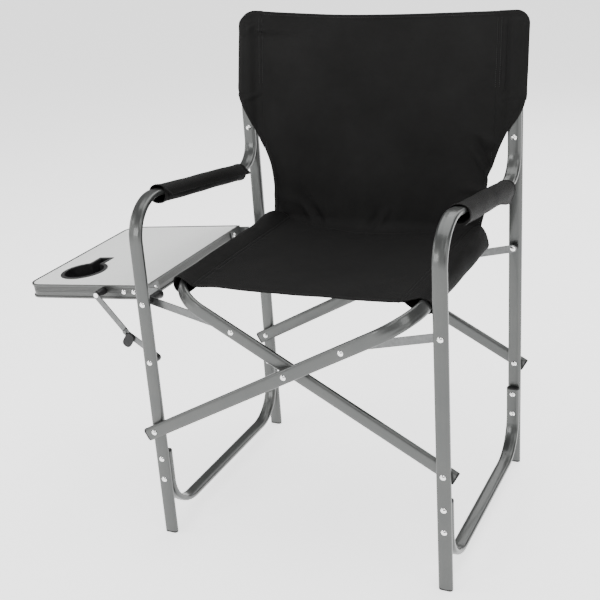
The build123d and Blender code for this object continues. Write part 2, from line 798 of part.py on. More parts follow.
def back_sleeve(x, inward):
    """The flat sleeve that slips over a back post, down to the seam beside the back."""
    with BuildPart() as sleeve:
        bottom = (x, on_post(back_sleeve_bottom), back_sleeve_bottom)
        with BuildSketch(Plane(origin=bottom, x_dir=(1, 0, 0), z_dir=post_direction)):
            with Locations((inward * (back_seam_inset - back_sleeve_reach) / 2, 0)):
                Rectangle(back_seam_inset + back_sleeve_reach, 2 * cloth)
            oval(sleeve_growth)
            SlotOverall(tube_wide + 2 * sleeve_gap, tube_thick + 2 * sleeve_gap, mode=Mode.SUBTRACT)
        extrude(amount=back_sleeve_length / math.cos(post_tilt))
    return sleeve.part


save(back_sleeve(table_leg_x, 1), "back_sleeve_table_side")
save(back_sleeve(free_leg_x, -1), "back_sleeve_free_side")

with BuildPart() as back_panel:
    seam_half = half_spacing - back_seam_inset - sleeve_gap
    foot_z = seat_edge_z - cloth
    fall_y = rear_y - back_foot_forward
    with BuildSketch(Plane(origin=(chair_x, 0, 0), x_dir=(0, 1, 0), z_dir=(1, 0, 0))):
        with BuildLine():
            outer_run = FilletPolyline(
                (seat_rear + sleeve_gap, foot_z),
                (fall_y, foot_z),
                (on_post(back_sleeve_bottom), back_sleeve_bottom),
                (on_post(back_top), back_top),
                radius=[back_foot_radius, back_fall_radius],
            )
            inner_run = FilletPolyline(
                (seat_rear + sleeve_gap, foot_z + cloth),
                (fall_y - cloth, foot_z + cloth),
                (on_post(back_sleeve_bottom) - cloth, back_sleeve_bottom),
                (on_post(back_top) - cloth, back_top),
                radius=[back_foot_radius, back_fall_radius],
            )
            Line(outer_run @ 0, inner_run @ 0)
            Line(outer_run @ 1, inner_run @ 1)
        make_face()
    extrude(amount=half_spacing, both=True)
    with BuildSketch(Plane(origin=(chair_x, rear_y + tube_wide, 0), x_dir=(1, 0, 0), z_dir=(0, -1, 0))):
        with BuildLine():
            shoulder_half = half_spacing - tube_wide / 2 - back_shoulder_gap
            shoulder_z = back_sleeve_bottom - 2 * sleeve_gap
            Line((-seam_half, back_top), (seam_half, back_top))
            for hand in (1, -1):
                Line((hand * seam_half, back_top), (hand * seam_half, shoulder_z))
                Line((hand * seam_half, shoulder_z), (hand * shoulder_half, shoulder_z))
                Spline(
                    (hand * shoulder_half, shoulder_z),
                    (hand * back_bust_half, back_bust_height),
                    (hand * back_waist_half, back_waist_height),
                    (hand * back_foot_half, foot_z - cloth),
                )
            Line((back_foot_half, foot_z - cloth), (-back_foot_half, foot_z - cloth))
        make_face()
    extrude(amount=leg_depth, mode=Mode.INTERSECT)
save(back_panel.part, "back_panel")


def arm_cover(x):
    """The padded fabric sleeve on the straight stretch of an arm."""
    slope = arm_drop / (post_y - front_y)
    front_z = arm_height + slope * arm_front_radius
    start_y = front_y + arm_cover_front
    end_y = post_y - arm_cover_rear
    start = Vector(x, start_y, front_z - slope * (start_y - front_y))
    end = Vector(x, end_y, front_z - slope * (end_y - front_y))
    section = Plane(origin=start, x_dir=(1, 0, 0), z_dir=end - start)
    with BuildPart() as cover:
        with BuildSketch(section):
            with Locations((0, (arm_cover_below - arm_cover_top) / 2)):
                SlotOverall(
                    tube_wide + 2 * arm_cover_side,
                    tube_thick + arm_cover_top + arm_cover_below,
                )
            SlotOverall(tube_wide + 2 * sleeve_gap, tube_thick + 2 * sleeve_gap, mode=Mode.SUBTRACT)
        extrude(amount=(end - start).length)
    return cover.part


save(arm_cover(table_leg_x), "arm_cover_table_side")
save(arm_cover(free_leg_x), "arm_cover_free_side")
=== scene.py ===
# %% [markdown]
# # A folding camp chair with a side table
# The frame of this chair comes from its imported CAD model: oval tubes, rivets, links, table and brace.
# Blender adds what CAD solids cannot show well, the sewn cloth and the finishes of metal, board and plastic.
# Every piece stands in the CAD frame, in metres, with +Z up and the floor at zero.

# %% load the frame
import bmesh
import bpy
import numpy as np
from mathutils import Matrix


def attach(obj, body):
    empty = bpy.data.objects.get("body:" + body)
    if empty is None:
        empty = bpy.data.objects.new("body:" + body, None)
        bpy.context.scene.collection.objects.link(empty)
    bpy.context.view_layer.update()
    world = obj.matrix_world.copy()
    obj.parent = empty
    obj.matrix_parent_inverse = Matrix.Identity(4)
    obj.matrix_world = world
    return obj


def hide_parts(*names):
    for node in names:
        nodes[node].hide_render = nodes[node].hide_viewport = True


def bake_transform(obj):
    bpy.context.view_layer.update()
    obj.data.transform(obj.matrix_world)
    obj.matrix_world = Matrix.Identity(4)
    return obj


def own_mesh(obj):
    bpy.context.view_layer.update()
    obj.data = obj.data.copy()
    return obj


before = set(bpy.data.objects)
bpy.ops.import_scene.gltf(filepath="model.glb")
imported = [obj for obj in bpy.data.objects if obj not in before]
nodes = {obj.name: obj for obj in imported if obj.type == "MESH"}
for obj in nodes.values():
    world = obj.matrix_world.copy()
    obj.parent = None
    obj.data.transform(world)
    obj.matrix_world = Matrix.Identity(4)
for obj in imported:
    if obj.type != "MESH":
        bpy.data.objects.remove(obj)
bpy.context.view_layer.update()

# %% [markdown]
# A photograph fixes the camera: the directions of the legs, rails and table give its turn and its lens.
# The three axes below are the camera's right, up and backward directions, worked out from those lines.

# %% camera
right = np.array([0.9069065, 0.4162141, -0.0654702])
up = np.array([-0.0976080, 0.3587084, 0.9283324])
backward = np.array([0.4098697, -0.8355203, 0.3659408])
eye = np.array([0.865656, -1.648425, 1.110947])
camera_data = bpy.data.cameras.new("photo_camera")
camera_data.lens = 65.924
camera_data.sensor_width = 36.0
camera_data.clip_start = 0.05
camera_data.clip_end = 1000.0
camera = bpy.data.objects.new("photo_camera", camera_data)
pose = np.eye(4)
pose[:3, 0], pose[:3, 1], pose[:3, 2], pose[:3, 3] = right, up, backward, eye
camera.matrix_world = Matrix(pose.tolist())
bpy.context.scene.collection.objects.link(camera)
bpy.context.scene.camera = camera
print("camera lens", camera_data.lens)

# %% [markdown]
# Finishes are built from a few node helpers. Each reads Object coordinates in metres, or the cloth's own UV,
# so a grain of half a millimetre stays half a millimetre on every piece.

# %% node helpers
def finish(name, base, metallic, rough, **settings):
    """A Principled finish with its even values set on the shader: the material, its node tree and its shader."""
    material = bpy.data.materials.new(name)
    material.use_nodes = True
    tree = material.node_tree
    shader = tree.nodes["Principled BSDF"]
    shader.inputs["Base Color"].default_value = (*base, 1)
    shader.inputs["Metallic"].default_value = metallic
    shader.inputs["Roughness"].default_value = rough
    for socket, value in settings.items():
        shader.inputs[socket.replace("_", " ")].default_value = value
    return material, tree, shader


def node(tree, kind, links=(), **values):
    """One node with its values set and its inputs linked: a key such as Scale names an input,
    a lower-case key a property."""
    made = tree.nodes.new(kind)
    for key, value in values.items():
        if hasattr(made, key):
            setattr(made, key, value)
        else:
            made.inputs[key.replace("_", " ")].default_value = value
    for socket, source in dict(links).items():
        tree.links.new(source, made.inputs[socket])
    return made


def place(tree, stretch=(1, 1, 1), source="Object"):
    """Coordinates of the piece itself, stretched per axis."""
    where = node(tree, "ShaderNodeTexCoord")
    return node(tree, "ShaderNodeMapping", {"Vector": where.outputs[source]}, Scale=stretch).outputs["Vector"]


def grain(tree, where, scale, detail=3.0, rough=0.6):
    """Noise of a given count per metre."""
    noise = node(tree, "ShaderNodeTexNoise", {"Vector": where}, Scale=scale, Detail=detail, Roughness=rough)
    return noise.outputs["Fac"]


def spread(tree, value, low, high, start=0.3, stop=0.7):
    """A noise value laid between two numbers."""
    limits = {"From Min": start, "From Max": stop, "To Min": low, "To Max": high}
    return node(tree, "ShaderNodeMapRange", {"Value": value}, **limits).outputs["Result"]


def two_tone(tree, value, first, second, start=0.35, stop=0.65):
    """A colour between two, by a noise value."""
    ramp = node(tree, "ShaderNodeValToRGB", {"Fac": value})
    ramp.color_ramp.elements[0].position = start
    ramp.color_ramp.elements[1].position = stop
    ramp.color_ramp.elements[0].color = (*first, 1)
    ramp.color_ramp.elements[1].color = (*second, 1)
    return ramp.outputs["Color"]


def mix_tones(tree, share, first, second):
    """Two colours mixed, the second by a share."""
    mixed = node(tree, "ShaderNodeMix", data_type="RGBA", blend_type="MIX")
    mixed.inputs[0].default_value = share
    tree.links.new(first, mixed.inputs[6])
    tree.links.new(second, mixed.inputs[7])
    return mixed.outputs[2]


def feed(tree, shader, tone=None, rough=None):
    """Links a colour and a roughness to the shader."""
    for socket, source in (("Base Color", tone), ("Roughness", rough)):
        if source is not None:
            tree.links.new(source, shader.inputs[socket])


def rough_skin(tree, shader, height, strength, distance, under=None):
    """Bump from a height value, on top of a coarser bump if there is one."""
    links = {"Height": height}
    if under is not None:
        links["Normal"] = under
    bump = node(tree, "ShaderNodeBump", links, Strength=strength, Distance=distance)
    tree.links.new(bump.outputs["Normal"], shader.inputs["Normal"])
    return bump.outputs["Normal"]


print("node helpers ready")

# %% [markdown]
# The tubes have a satin grey coat with a fine metal flake, a soft orange peel and faint handling marks.

# %% tube coat
coat = {"Specular_IOR_Level": 0.5, "Coat_Weight": 0.3, "Coat_Roughness": 0.1}
tube_grey, tree, shader = finish("tube_grey", (0.11, 0.113, 0.111), 0.8, 0.34, **coat)
where = place(tree)
flake = grain(tree, where, 2600.0, 1.0)
peel = grain(tree, where, 260.0, 2.0)
cloudy = grain(tree, where, 14.0, 4.0)
tone = two_tone(tree, cloudy, (0.068, 0.071, 0.07), (0.084, 0.086, 0.083))
sparkle = two_tone(tree, flake, (0.062, 0.065, 0.064), (0.11, 0.113, 0.11), 0.3, 0.72)
feed(tree, shader, mix_tones(tree, 0.35, tone, sparkle), spread(tree, cloudy, 0.33, 0.4))
rough_skin(tree, shader, flake, 0.04, 0.0004, rough_skin(tree, shader, peel, 0.05, 0.0008))
print("tube coat", tube_grey.name)

# %% [markdown]
# Rivets are bright polished steel with a faint unevenness. Links, brackets and brace bars are plated steel with a
# drawn grain, and the table has a drawn aluminium edge.

# %% metals
rivet_steel, tree, shader = finish("rivet_steel", (0.86, 0.86, 0.85), 1.0, 0.1)
where = place(tree)
feed(tree, shader, rough=spread(tree, grain(tree, where, 420.0, 3.0), 0.06, 0.16))
rough_skin(tree, shader, grain(tree, where, 1500.0, 2.0), 0.05, 0.0003)

plated_steel, tree, shader = finish("plated_steel", (0.13, 0.133, 0.133), 0.9, 0.32)
where = place(tree, (1.0, 9.0, 1.0))
drawn = grain(tree, where, 160.0, 4.0)
tone = two_tone(tree, drawn, (0.11, 0.113, 0.113), (0.15, 0.153, 0.153))
feed(tree, shader, tone, spread(tree, drawn, 0.26, 0.40))
rough_skin(tree, shader, drawn, 0.06, 0.0004)

edge_aluminium, tree, shader = finish("edge_aluminium", (0.12, 0.122, 0.12), 0.85, 0.34)
where = place(tree, (1.0, 1.0, 14.0))
drawn = grain(tree, where, 90.0, 4.0)
tone = two_tone(tree, drawn, (0.08, 0.082, 0.08), (0.112, 0.114, 0.112))
feed(tree, shader, tone, spread(tree, drawn, 0.30, 0.46))
rough_skin(tree, shader, grain(tree, where, 700.0, 2.0), 0.06, 0.0003)
print("metals", rivet_steel.name, plated_steel.name, edge_aluminium.name)

# %% [markdown]
# Plugs, caps and spacers are matt moulded plastic. The cup holder is a glossier moulding with a faint grain.
# The table board is a pale laminate with a fine speckle of lighter and darker grains.

# %% plastics and board
black_plastic, tree, shader = finish("black_plastic", (0.008, 0.008, 0.0085), 0.0, 0.5, Specular_IOR_Level=0.3)
where = place(tree)
tone = two_tone(tree, grain(tree, where, 90.0), (0.006, 0.006, 0.0065), (0.012, 0.012, 0.0125))
feed(tree, shader, tone, spread(tree, grain(tree, where, 300.0), 0.42, 0.62))
rough_skin(tree, shader, grain(tree, where, 1400.0, 2.0), 0.12, 0.0004)

cup_plastic, tree, shader = finish("cup_plastic", (0.011, 0.011, 0.0115), 0.0, 0.34, Specular_IOR_Level=0.4)
where = place(tree)
tone = two_tone(tree, grain(tree, where, 60.0), (0.008, 0.008, 0.0085), (0.015, 0.015, 0.0155))
feed(tree, shader, tone, spread(tree, grain(tree, where, 240.0), 0.26, 0.42))
rough_skin(tree, shader, grain(tree, where, 1100.0, 2.0), 0.10, 0.0004)

table_board, tree, shader = finish("table_board", (0.76, 0.77, 0.755), 0.0, 0.4)
where = place(tree)
speck = node(tree, "ShaderNodeTexVoronoi", {"Vector": where}, Scale=620.0, feature="F1")
fleck = grain(tree, where, 900.0, 2.0, 0.8)
board_tone = two_tone(tree, fleck, (0.78, 0.79, 0.78), (0.95, 0.96, 0.945), 0.32, 0.68)
seed = node(tree, "ShaderNodeSeparateColor", {"Color": speck.outputs["Color"]}).outputs["Red"]
seed_tone = two_tone(tree, seed, (0.7, 0.71, 0.7), (0.84, 0.85, 0.835), 0.1, 0.9)
feed(tree, shader, mix_tones(tree, 0.45, board_tone, seed_tone), spread(tree, fleck, 0.36, 0.50))
rough_skin(tree, shader, fleck, 0.05, 0.0003)
print("plastics and board", black_plastic.name, cup_plastic.name, table_board.name)

# %% [markdown]
# CAD nodes keep their shapes. Each takes the finish that belongs to a word in its name.

# %% dress the CAD nodes
def dress(finish_of, *words):
    """Gives every CAD node whose name holds one of the words that finish."""
    chosen = [n for n in nodes if any(w in n for w in words)]
    for name in chosen:
        nodes[name].data.materials.clear()
        nodes[name].data.materials.append(finish_of)
    return len(chosen)


counts = [
    dress(tube_grey, "front_leg", "rear_upright", "lower_rail", "cross_tube"),
    dress(rivet_steel, "rivets", "pins", "bolts", "brace_pin", "link_stubs"),
    dress(plated_steel, "link_front", "link_rear", "bracket", "brace_upper_bar", "brace_lower_bar"),
    dress(black_plastic, "plugs", "caps", "washers", "bush", "release_tab"),
    dress(cup_plastic, "cup_holder"),
    dress(edge_aluminium, "table_frame"),
    dress(table_board, "table_panel"),
    dress(black_plastic, "back_panel", "back_sleeve", "arm_cover", "seat_"),
]
print("dressed", counts)

# %% [markdown]
# Shapes are worked out in millimetres from the chair's middle plane, then put into the frame in metres.
# A grid of points with rows and columns is enough for every piece here: quads join neighbours,
# and where two grids share an edge their points are welded.

# %% grids and pieces
mid_x, half = 132.558, 260.0  # the middle plane in the frame, and half the distance between the side frames
front_y, rear_y = -219.0, 219.0  # depths of the front and the rear legs
inner_y = 207.95  # depth of the tubes that lie against the rear legs
pivot_z, centre_z, rail_reach = 212.0, 354.0, 247.0  # heights of the scissor's pivots, and its reach to a seat rail
scissor = np.array([half, centre_z - pivot_z])
cross_cos, cross_sin = scissor / np.hypot(*scissor)
rail_x, rail_z = rail_reach * cross_cos, centre_z + rail_reach * cross_sin


def patch(points, flat=None, flip=False):
    """A grid of points (rows, columns, 3) in mm: its points in the frame in metres, its quads and its flat map."""
    rows, cols = points.shape[:2]
    index = np.arange(rows * cols).reshape(rows, cols)
    quads = np.stack([index[:-1, :-1], index[:-1, 1:], index[1:, 1:], index[1:, :-1]], -1).reshape(-1, 4)
    flat = np.zeros((rows, cols, 2)) if flat is None else flat
    placed = (points.reshape(-1, 3) + (mid_x, 0, 0)) * 0.001
    return placed, quads[:, ::-1] if flip else quads, flat.reshape(-1, 2) * 0.001


def piece(name, patches, material, closed=False):
    """Grids joined into one smooth object with shared edges welded; a closed one has its faces turned outward."""
    starts = np.cumsum([0] + [len(p[0]) for p in patches])
    points = np.concatenate([p[0] for p in patches])
    quads = np.concatenate([p[1] + s for p, s in zip(patches, starts)])
    flat = np.concatenate([p[2] for p in patches])
    mesh = bpy.data.meshes.new(name)
    mesh.from_pydata(points.tolist(), [], quads.tolist())
    mesh.uv_layers.new(name="pattern").data.foreach_set("uv", flat[quads.ravel()].ravel().astype(np.float32))
    work = bmesh.new()
    work.from_mesh(mesh)
    bmesh.ops.remove_doubles(work, verts=work.verts, dist=2e-6)
    if closed:
        bmesh.ops.recalc_face_normals(work, faces=work.faces)
    work.to_mesh(mesh)
    work.free()
    mesh.polygons.foreach_set("use_smooth", np.ones(len(mesh.polygons), bool))
    mesh.materials.append(material)
    made = bpy.data.objects.new(name, mesh)
    bpy.context.scene.collection.objects.link(made)
    return made


def through(t, at, values):
    """A smooth line through given values: a cubic between each two, with slopes taken from their neighbours."""
    at, values = np.asarray(at, float), np.asarray(values, float)
    t = np.clip(np.asarray(t, float), at[0], at[-1])
    slope = np.gradient(values, at, axis=0)
    k = np.clip(np.searchsorted(at, t) - 1, 0, len(at) - 2)
    gap = at[k + 1] - at[k]
    f = (t - at[k]) / gap
    if values.ndim > 1:
        f, gap = f[..., None], gap[..., None]
    here, there = values[k] * (2 * f**3 - 3 * f**2 + 1), values[k + 1] * (3 * f**2 - 2 * f**3)
    return here + there + gap * (slope[k] * (f**3 - 2 * f**2 + f) + slope[k + 1] * (f**3 - f**2))


def ease(value, start, stop):
    """A soft step from 0 at start to 1 at stop."""
    f = np.clip((value - start) / (stop - start), 0, 1)
    return f * f * (3 - 2 * f)


print("seat rail at", round(float(rail_x), 1), round(float(rail_z), 1))

# %% [markdown]
# The tubes are flat ovals bent on a former. Their section is a rounded oval a little fuller than the flat-sided
# solid, because the real faces are never quite flat: that slight crown is what draws the long soft highlights.
# In each bend the face is rippled a little, as thin tube is. One profile is carried along runs and arcs.

# %% frame tubes
def bent_line(corners, radii, step=6.0, fade=30.0):
    """Straight runs joined by arcs that touch both runs at each corner: points, directions and bend shares.
    A bend's share is 1 in the middle of its arc and fades out along the runs beside it."""
    corners = np.asarray(corners, float)
    spots, ways, bends = [], [], []
    start = corners[0]
    for before, corner, after, radius in zip(corners[:-2], corners[1:-1], corners[2:], radii):
        a = (before - corner) / np.linalg.norm(before - corner)
        b = (after - corner) / np.linalg.norm(after - corner)
        opening = np.arccos(a @ b) / 2
        first, last = corner + a * radius / np.tan(opening), corner + b * radius / np.tan(opening)
        centre = corner + (a + b) / np.linalg.norm(a + b) * radius / np.sin(opening)
        run = np.linalg.norm(first - start)
        t = np.linspace(0, 1, max(3, int(run / step)), endpoint=False)
        after_bend = (1 - ease(t, 0, fade / run)) * (len(spots) > 0)
        spots.append(start + t[:, None] * (first - start))
        ways.append(np.tile(-a, (len(t), 1)))
        bends.append(0.5 * np.maximum(after_bend, ease(t, 1 - fade / run, 1)))
        turn = np.linspace(0, np.pi - 2 * opening, int(radius * 0.9), endpoint=False)[:, None]
        spots.append(centre + np.cos(turn) * (first - centre) - np.sin(turn) * a * radius)
        ways.append(-np.sin(turn) * (first - centre) / radius - np.cos(turn) * a)
        bends.append(0.5 + 0.5 * np.sin(np.pi * turn[:, 0] / turn[-1, 0]))
        start = last
    run = corners[-1] - start
    t = np.linspace(0, 1, max(3, int(np.linalg.norm(run) / step)))
    spots.append(start + t[:, None] * run)
    ways.append(np.tile(run / np.linalg.norm(run), (len(t), 1)))
    bends.append((1 - ease(t, 0, fade / np.linalg.norm(run))) * 0.5 * (len(corners) > 2))
    return np.concatenate(spots), np.concatenate(ways), np.concatenate(bends)


half_wide, half_deep = 12.0, 5.5
ripple_high, ripple_pitch = 0.22, 9.5


def oval_tube(name, corners, radii, wide, body, node_name):
    """A rounded oval, |x/12|^3 + |y/5.5|^3 = 1, carried along a bent line with its long side along wide.
    In the bends a cosine ripple across the flat faces is added."""
    line, way, bend = bent_line(corners, radii)
    angle = np.linspace(0, 2 * np.pi, 57)
    c, s = np.cos(angle), np.sin(angle)
    across = half_wide * np.sign(c) * np.abs(c) ** (2 / 3)
    deep = half_deep * np.sign(s) * np.abs(s) ** (2 / 3)
    ripple = ripple_high * np.cos(across * 2 * np.pi / ripple_pitch) * np.abs(s) ** 2 * np.sign(s)
    lip = 0.25
    line = np.concatenate([line[:1], line[:1] + lip * way[:1], line[1:-1], line[-1:] - lip * way[-1:], line[-1:]])
    way = np.concatenate([way[:1], way[:1], way[1:-1], way[-1:], way[-1:]])
    bend = np.concatenate([bend[:1], bend[:1], bend[1:-1], bend[-1:], bend[-1:]])
    out = np.cross(way, wide)
    depth = deep + bend[:, None] * ripple
    rings = line[:, None] + across[:, None] * np.asarray(wide, float) + depth[..., None] * out[:, None]
    ends = np.repeat(line[[0, -1]][:, None], len(angle), 1)
    made = piece(name, [patch(np.concatenate([ends[:1], rings, ends[1:]]))], tube_grey, closed=True)
    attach(made, body)
    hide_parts(node_name)
    return made


foot_z, rear_top_z = 3.0, 697.0  # heights of tube ends: inside a foot cap, and under the rear leg's cap
arm_height, arm_drop, arm_bend = 621.0, 58.0, 66.0
arm_run = inner_y - front_y
arm_top = arm_height + arm_bend * arm_drop / arm_run
post_bend_z, post_top_z, back_tilt = 710.0, 845.0, np.tan(np.radians(9.0))
low_rail_z, low_rail_top = 35.0, 162.0
cross_gap, cross_over = 12.5, 16.0  # a cross tube's offset from the legs, and what it runs on past its pivot
tubes = []
for x, side in ((-half, "table_side"), (half, "free_side")):
    body = "frame_" + side
    post_top_y = inner_y + (post_top_z - post_bend_z) * back_tilt
    leg = [(x, front_y, foot_z), (x, front_y, arm_top), (x, inner_y, arm_top - arm_drop)]
    leg += [(x, inner_y, post_bend_z), (x, post_top_y, post_top_z)]
    rear = [(x, rear_y, foot_z), (x, rear_y, rear_top_z)]
    low = [(x, -inner_y, low_rail_top), (x, -inner_y, low_rail_z)]
    low += [(x, inner_y, low_rail_z), (x, inner_y, low_rail_top)]
    for label, line, radii, node_name in (
        ("leg_and_arm_", leg, (arm_bend, 46, 120), "front_leg_and_arm_"),
        ("rear_leg_", rear, (), "rear_upright_"),
        ("side_rail_", low, (70, 70), "lower_rail_"),
    ):
        tubes.append(oval_tube(label + side, line, radii, (1, 0, 0), body, node_name + side))
for turn, letter in ((1, "a"), (-1, "b")):
    foot = np.array([-half - cross_over * cross_cos, 0, pivot_z - cross_over * cross_sin])
    top = np.array([rail_x, 0, rail_z])
    near, far = np.array([0, front_y - cross_gap, 0]), np.array([0, rear_y - cross_gap, 0])
    route = np.array([foot + near, top + near, top + far, foot + far]) * (turn, turn, 1)
    wide = (-turn * cross_sin, 0, cross_cos)
    tubes.append(oval_tube("cross_bar_" + letter, route, (66, 66), wide, "cross_" + letter, "cross_tube_" + letter))
print("tubes", len(tubes), "points", sum(len(t.data.vertices) for t in tubes))

# %% [markdown]
# The cloth is a black oxford weave: two threads over two, with a faint sheen. Its pattern follows the piece's own
# flat map, so the threads run along the cut cloth and over its folds.

# %% cloth finish
dull = {"Sheen_Weight": 0.01, "Sheen_Roughness": 0.4, "Specular_IOR_Level": 0.17}
cloth, tree, shader = finish("black_oxford", (0.005, 0.0049, 0.0048), 0.0, 0.8, **dull)
where = place(tree, source="UV")
threads = node(tree, "ShaderNodeSeparateXYZ", {"Vector": where})
pitch = 2 * np.pi / 0.00115


def wave(source, turns):
    """A sine along one direction of the cloth."""
    scaled = node(tree, "ShaderNodeMath", operation="MULTIPLY")
    tree.links.new(source, scaled.inputs[0])
    scaled.inputs[1].default_value = turns
    sine = node(tree, "ShaderNodeMath", operation="SINE")
    tree.links.new(scaled.outputs[0], sine.inputs[0])
    return sine.outputs[0]


def join(first, second, operation):
    """Two values joined by a sum or a product."""
    made = node(tree, "ShaderNodeMath", operation=operation)
    tree.links.new(first, made.inputs[0])
    tree.links.new(second, made.inputs[1])
    return made.outputs[0]


over = join(wave(threads.outputs["X"], pitch), wave(threads.outputs["Y"], pitch), "MULTIPLY")
slub = grain(tree, place(tree, (900.0, 130.0, 1.0), "UV"), 1.0, 3.0)
fade = grain(tree, where, 9.0, 4.0)
height = join(over, slub, "ADD")
tone = two_tone(tree, height, (0.0028, 0.0027, 0.0026), (0.0056, 0.0054, 0.0052), 0.1, 1.4)
feed(tree, shader, tone, spread(tree, fade, 0.7, 0.84))
crumple = rough_skin(tree, shader, grain(tree, where, 60.0, 3.0), 0.12, 0.001)
rough_skin(tree, shader, height, 0.35, 0.0002, crumple)

thread, tree, shader = finish("black_thread", (0.009, 0.009, 0.0088), 0.0, 0.65, Sheen_Weight=0.03)
twist = grain(tree, place(tree), 2500.0, 2.0)
feed(tree, shader, two_tone(tree, twist, (0.006, 0.006, 0.0058), (0.013, 0.013, 0.0127)))
rough_skin(tree, shader, twist, 0.2, 0.0002)


def thicken(made, thick=1.5):
    """Cloth has a thickness: half of it to each side of the worked-out surface."""
    solid = made.modifiers.new("cloth_thickness", "SOLIDIFY")
    solid.thickness = thick * 0.001
    solid.offset = 0.0
    return made


def along_line(points):
    """Distance along a line of points, from its first point."""
    return np.concatenate([[0], np.cumsum(np.linalg.norm(np.diff(points, axis=0), axis=1))])


def stitches(name, line, facing, body=None, pitch=4.2, length=2.9, radius=0.42):
    """A row of thread stitches: a six-sided bead, thin at both ends, set at equal steps along a line on the cloth."""
    far = along_line(line)
    at = np.arange(pitch, far[-1] - pitch, pitch)
    spot = np.stack([np.interp(at, far, line[:, k]) for k in range(3)], -1)
    way = np.stack([np.interp(at + 0.5, far, line[:, k]) for k in range(3)], -1) - spot
    way /= np.linalg.norm(way, axis=1, keepdims=True)
    out = np.stack([np.interp(at, far, facing[:, k]) for k in range(3)], -1)
    out -= (out * way).sum(1, keepdims=True) * way
    out /= np.linalg.norm(out, axis=1, keepdims=True)
    side = np.cross(way, out)
    along = np.linspace(-0.5, 0.5, 5)
    girth = np.array([0.0, 0.8, 1.0, 0.8, 0.0]) * radius
    rise = radius * np.array([-0.9, 0.1, 0.35, 0.1, -0.9])
    turn = np.linspace(0, 2 * np.pi, 7)
    spot, way, out, side = (a[:, None, None] for a in (spot, way, out, side))
    along, rise, girth = (a[:, None, None] for a in (along * length, rise, girth))
    rings = spot + along * way + rise * out
    rings = rings + girth * (np.cos(turn)[:, None] * side + np.sin(turn)[:, None] * out)
    made = piece(name, [patch(r) for r in rings], thread, closed=True)
    if body:
        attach(made, body)
    return made


print("cloth", cloth.name, "thread", thread.name)

# %% [markdown]
# The seat is one sewn cloth. Each side is folded round a seat rail into a loose sleeve and stitched down inside it,
# so the section runs from the stitch, under and over the rail, across the seat, and round the other rail.
# That section is a smooth line through a few points, carried from the front hem to the rear, where it dips under
# the back.

# %% seat
left_sleeve = np.array([
    (-40, 1.5), (-21, -6.5), (-6, -13.5), (5, -14.6), (11, -8.5),
    (9.8, 0.5), (5.2, 9.2), (-3.5, 13.6), (-18, 10.5), (-40, 4),
])
right_sleeve = np.array([
    (-35, 8), (-20, -2.5), (-6, -12.8), (4.5, -14.6), (11, -9),
    (10.4, 0), (5.4, 9), (-4, 13.8), (-18, 12.4), (-35, 10.4),
])
left_part = np.column_stack([-rail_x - left_sleeve[:, 0], rail_z + left_sleeve[:, 1]])
right_part = np.column_stack([rail_x + right_sleeve[:, 0], rail_z + right_sleeve[:, 1]])[::-1]
between = left_part[-1] + np.linspace(0, 1, 11)[1:-1, None] * (right_part[0] - left_part[-1])
section = np.concatenate([left_part, between, right_part])
knots = np.arange(len(section))


def per_knot(left, middle, right):
    """One value for each knot of the section: the left sleeve's, an even one between the rails, the right sleeve's."""
    return np.concatenate([left, np.full(9, middle), right])


front_cut = per_knot(
    [-174, -176, -176, -173, -170, -171, -175, -179, -183, -188], -187.0,
    [-184, -175, -167, -161, -156, -154, -156, -160, -166, -168],
)
rear_cut = per_knot(
    [140, 120, 108, 104, 104, 106, 118, 158, 192, 198], 200.0,
    [198, 190, 171, 162, 157, 156, 155, 154, 154, 160],
)
sink = per_knot([2, 9, 4, 0, 0, 0, 0, 0, 0, 2], 0.0, [0, 0, 0, 0, 0, 0, 0, 1, 3, 0])
seat_deep, seat_mid, seat_half = 386.0, 2.5, 181.0


def crease_y(x):
    """Where the slack of the back meets the seat: a smooth line through a few depths, a little uneven."""
    across = [-230, -182, -139, -99, -48, -12, 17, 60, 110, 160, 230]
    depth = [190, 187, 173, 159, 147, 143.5, 144, 149, 160, 174, 189]
    return through(x, across, depth) + 1.6 * np.sin(x / 13) + 1.1 * np.sin(x / 6.1 + 1)


seam_knots, seam_widths = (9.0, 8.75, 19.0, 19.3), (0.04, 0.055, 0.045, 0.06)


